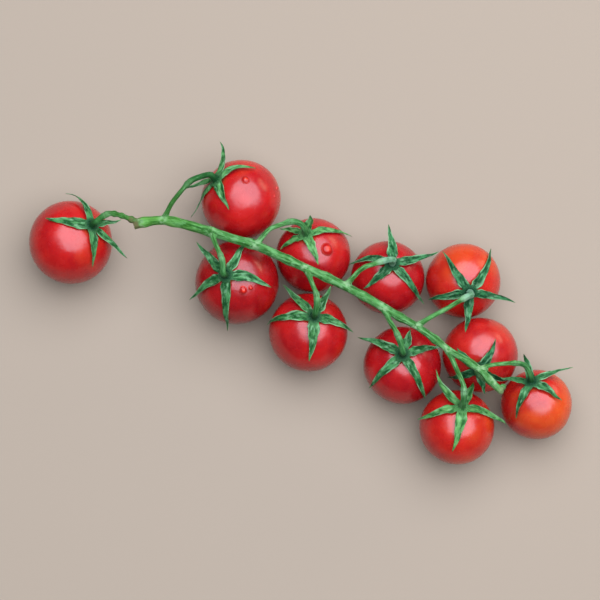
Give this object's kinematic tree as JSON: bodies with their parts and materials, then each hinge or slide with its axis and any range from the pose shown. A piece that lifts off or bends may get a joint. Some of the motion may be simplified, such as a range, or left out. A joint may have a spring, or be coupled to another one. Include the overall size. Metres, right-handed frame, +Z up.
{
  "type": "truss of tomatoes",
  "caption": "A picked truss of ripe cherry tomatoes lying on a surface: red fruit with five-pointed green calyxes on knuckled stalks along one arching green main stem.",
  "frame": {"origin": "on the surface that the truss lies on, under the middle of its bounding box", "axes": "+X along the truss from the stem's cut end towards its tip, +Y across it in the surface, +Z up from the surface"},
  "size_m": [0.203, 0.1202, 0.0381],
  "materials": {
    "ripe_skin": "glossy ripe red skin with a soft sheen",
    "turning_skin": "glossy orange-red skin, the last fruit to ripen",
    "sepal_green": "matte dark green sepals, downy, paler at their edges",
    "stem_green": "matte mid-green stem, downy and finely ridged"
  },
  "bodies": {
    "root": {"main_stem": "stem_green", "fruit_stalk_01": "stem_green", "fruit_stalk_02": "stem_green", "fruit_stalk_03": "stem_green", "fruit_stalk_04": "stem_green", "fruit_stalk_05": "stem_green", "fruit_stalk_06": "stem_green", "fruit_stalk_07": "stem_green", "fruit_stalk_08": "stem_green", "fruit_stalk_09": "stem_green", "fruit_stalk_10": "stem_green", "fruit_stalk_11": "stem_green", "calyx_01": "sepal_green", "calyx_02": "sepal_green", "calyx_03": "sepal_green", "calyx_04": "sepal_green", "calyx_05": "sepal_green", "calyx_06": "sepal_green", "calyx_07": "sepal_green", "calyx_08": "sepal_green", "calyx_09": "sepal_green", "calyx_10": "sepal_green", "calyx_11": "sepal_green", "tomato_01": "ripe_skin", "tomato_02": "ripe_skin", "tomato_03": "ripe_skin", "tomato_04": "ripe_skin", "tomato_05": "ripe_skin", "tomato_06": "ripe_skin", "tomato_07": "ripe_skin", "tomato_08": "ripe_skin", "tomato_09": "ripe_skin", "tomato_10": "turning_skin", "tomato_11": "ripe_skin"}
  },
  "joints": []
}
